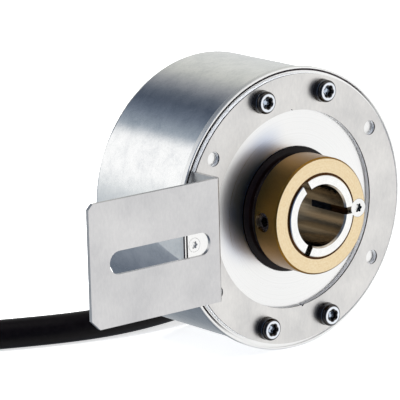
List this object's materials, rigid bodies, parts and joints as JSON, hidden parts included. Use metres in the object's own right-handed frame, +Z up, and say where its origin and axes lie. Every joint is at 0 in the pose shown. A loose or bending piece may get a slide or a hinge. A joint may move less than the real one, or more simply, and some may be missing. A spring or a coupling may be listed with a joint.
{
  "type": "rotary encoder",
  "caption": "Hollow-shaft incremental rotary encoder with a clamping collar, a slotted torque arm in bent sheet and a round shielded cable with bare leads.",
  "frame": {"origin": "on the shaft axis, in the mounting face of the front flange", "axes": "+Z up, the shaft axis along Y with the clamping side facing -Y, the torque arm towards -X"},
  "size_m": [0.26, 0.1305, 0.0888],
  "materials": {
    "machined_aluminium": "fine turned",
    "gold_anodised": "turned, gold coloured",
    "zinc_plated_sheet": "zinc plated sheet, fine mottling",
    "black_oxide_steel": "black oxide, light oil",
    "plated_steel": "bright plated",
    "bearing_steel": "ground and polished",
    "seal_rubber": "matt",
    "cable_jacket": "satin",
    "braided_shield": "braided",
    "lead_insulation": "satin",
    "black_plastic": "fine texture",
    "board_laminate": "solder mask",
    "code_glass": "clear with a metal track"
  },
  "bodies": {
    "housing": {"arm_screw_1": "black_oxide_steel", "arm_screw_2": "black_oxide_steel", "arm_screw_3": "black_oxide_steel", "arm_screw_4": "black_oxide_steel", "bearing_front_outer": "bearing_steel", "bearing_rear_outer": "bearing_steel", "board_post_1": "plated_steel", "board_post_2": "plated_steel", "board_post_3": "plated_steel", "boot": "seal_rubber", "cable": "cable_jacket", "cable_tail": "cable_jacket", "circuit_board": "board_laminate", "coil": "cable_jacket", "cover": "zinc_plated_sheet", "cover_post_1": "plated_steel", "cover_post_2": "plated_steel", "cover_post_3": "plated_steel", "cover_screw_1": "plated_steel", "cover_screw_2": "plated_steel", "cover_screw_3": "plated_steel", "flange": "machined_aluminium", "lamp_block": "black_plastic", "lead_1": "lead_insulation", "lead_2": "lead_insulation", "lead_3": "lead_insulation", "lead_4": "lead_insulation", "lead_5": "lead_insulation", "lead_6": "lead_insulation", "lock_washer_1": "black_oxide_steel", "lock_washer_2": "black_oxide_steel", "lock_washer_3": "black_oxide_steel", "lock_washer_4": "black_oxide_steel", "outlet": "black_plastic", "outlet_screw_1": "plated_steel", "outlet_screw_2": "plated_steel", "plug_screw": "plated_steel", "race_sleeve": "bearing_steel", "reading_head": "black_plastic", "retaining_ring": "plated_steel", "seal_case": "bearing_steel", "seal_lip": "seal_rubber", "shield": "braided_shield", "terminal_block": "black_plastic", "torque_arm": "zinc_plated_sheet"},
    "rotor": {"bearing_front_inner": "bearing_steel", "bearing_rear_inner": "bearing_steel", "clamp_ring": "machined_aluminium", "code_disc": "code_glass", "collar": "gold_anodised", "disc_hub": "machined_aluminium", "locating_screw": "plated_steel", "set_screw_1": "black_oxide_steel", "set_screw_2": "black_oxide_steel", "set_screw_3": "black_oxide_steel", "shaft": "machined_aluminium", "shaft_sleeve": "bearing_steel"},
    "front_cage": {"bearing_front_cage": "bearing_steel"},
    "rear_cage": {"bearing_rear_cage": "bearing_steel"}
  },
  "joints": [
    {"name": "shaft_spin", "type": "hinge", "parent": "housing", "child": "rotor", "pos_m": [0, 0, 0], "axis": [0, -1, 0], "continuous": true},
    {"name": "front_cage_spin", "type": "hinge", "parent": "housing", "child": "front_cage", "pos_m": [0, 0.0101, 0], "axis": [0, -1, 0], "continuous": true},
    {"name": "rear_cage_spin", "type": "hinge", "parent": "housing", "child": "rear_cage", "pos_m": [0, 0.0185, 0], "axis": [0, -1, 0], "continuous": true}
  ],
  "couplings": [
    {"joint": "front_cage_spin", "follows": "shaft_spin", "ratio": 0.4484},
    {"joint": "rear_cage_spin", "follows": "shaft_spin", "ratio": 0.4484}
  ]
}
